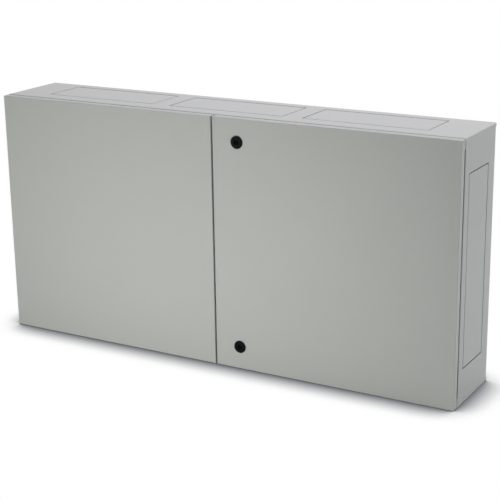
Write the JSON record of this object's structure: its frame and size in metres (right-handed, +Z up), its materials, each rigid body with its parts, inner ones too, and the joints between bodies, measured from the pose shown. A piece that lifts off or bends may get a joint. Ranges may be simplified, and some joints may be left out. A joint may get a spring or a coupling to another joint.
{
  "type": "electrical enclosure",
  "caption": "Wide shallow sheet-steel wall cabinet with two full-height hinged doors, round quarter-turn locks and flush cable-entry plates.",
  "frame": {"origin": "centre of the base, on the surface that the cabinet stands on", "axes": "+X to the right seen from the doors, +Y to the back panel, +Z up"},
  "size_m": [1.3, 0.2235, 0.65],
  "materials": {
    "cabinet_paint": "light grey textured powder coat",
    "plate_paint": "light grey textured powder coat",
    "lock_black": "black moulded plastic, satin",
    "seal_rubber": "black flat seal",
    "door_seal_foam": "dark grey foamed seal with a skin",
    "zinc_fastener": "bright zinc plated",
    "hinge_steel": "zinc plated steel",
    "hinge_cast": "die-cast zinc, dull",
    "galvanised_sheet": "galvanised sheet with faint spangle"
  },
  "bodies": {
    "cabinet": {"top_panel": "cabinet_paint", "bottom_panel": "cabinet_paint", "left_side_panel": "cabinet_paint", "right_side_panel": "cabinet_paint", "back_panel": "cabinet_paint", "centre_post": "cabinet_paint", "top_gland_plate_1": "plate_paint", "bottom_gland_plate_1": "plate_paint", "top_gland_plate_2": "plate_paint", "bottom_gland_plate_2": "plate_paint", "top_gland_plate_3": "plate_paint", "bottom_gland_plate_3": "plate_paint", "left_gland_plate": "plate_paint", "right_gland_plate": "plate_paint", "top_gland_seals": "seal_rubber", "bottom_gland_seals": "seal_rubber", "side_gland_seals": "seal_rubber", "gland_plate_nuts": "zinc_fastener", "gland_plate_studs": "zinc_fastener", "back_panel_studs": "zinc_fastener", "mounting_plate": "galvanised_sheet", "mounting_spacers": "zinc_fastener", "mounting_nuts": "zinc_fastener", "hinge_screws": "zinc_fastener", "cabinet_earth_nut": "zinc_fastener", "left_lower_hinge_arm": "hinge_cast", "left_upper_hinge_arm": "hinge_cast", "right_lower_hinge_arm": "hinge_cast", "right_upper_hinge_arm": "hinge_cast"},
    "left_door": {"left_door": "cabinet_paint", "left_door_seal": "door_seal_foam", "left_door_stiffener": "cabinet_paint", "left_door_earth_nut": "zinc_fastener", "left_hinge_pins": "hinge_steel", "left_lower_hinge_bracket": "hinge_steel", "left_upper_hinge_bracket": "hinge_steel", "lower_bolt_bracket": "hinge_steel", "upper_bolt_bracket": "hinge_steel"},
    "right_door": {"right_door": "cabinet_paint", "right_door_seal": "door_seal_foam", "right_door_stiffener": "cabinet_paint", "right_door_earth_nut": "zinc_fastener", "right_hinge_pins": "hinge_steel", "right_lower_hinge_bracket": "hinge_steel", "right_upper_hinge_bracket": "hinge_steel", "lower_lock_housing": "lock_black", "lower_lock_nut": "zinc_fastener", "upper_lock_housing": "lock_black", "upper_lock_nut": "zinc_fastener"},
    "lower_lock": {"lower_lock_rotor": "lock_black", "lower_lock_cam": "hinge_steel", "lower_cam_screw": "zinc_fastener"},
    "upper_lock": {"upper_lock_rotor": "lock_black", "upper_lock_cam": "hinge_steel", "upper_cam_screw": "zinc_fastener"},
    "lower_slide_bolt": {"lower_slide_bolt": "hinge_steel"},
    "upper_slide_bolt": {"upper_slide_bolt": "hinge_steel"}
  },
  "joints": [
    {"name": "right_door_hinge", "type": "hinge", "parent": "cabinet", "child": "right_door", "pos_m": [0.644, -0.099, 0.325], "axis": [0, 0, 1], "range_deg": [0, 105]},
    {"name": "left_door_hinge", "type": "hinge", "parent": "cabinet", "child": "left_door", "pos_m": [-0.644, -0.099, 0.325], "axis": [0, 0, -1], "range_deg": [0, 105]},
    {"name": "upper_lock_turn", "type": "hinge", "parent": "right_door", "child": "upper_lock", "pos_m": [0.072, -0.11, 0.59], "axis": [0, -1, 0], "range_deg": [0, 90]},
    {"name": "lower_lock_turn", "type": "hinge", "parent": "right_door", "child": "lower_lock", "pos_m": [0.072, -0.11, 0.06], "axis": [0, 1, 0], "range_deg": [0, 90]},
    {"name": "upper_bolt_slide", "type": "slide", "parent": "left_door", "child": "upper_slide_bolt", "axis": [0, 0, 1], "range_m": [0, 0.014]},
    {"name": "lower_bolt_slide", "type": "slide", "parent": "left_door", "child": "lower_slide_bolt", "axis": [0, 0, -1], "range_m": [0, 0.014]}
  ]
}
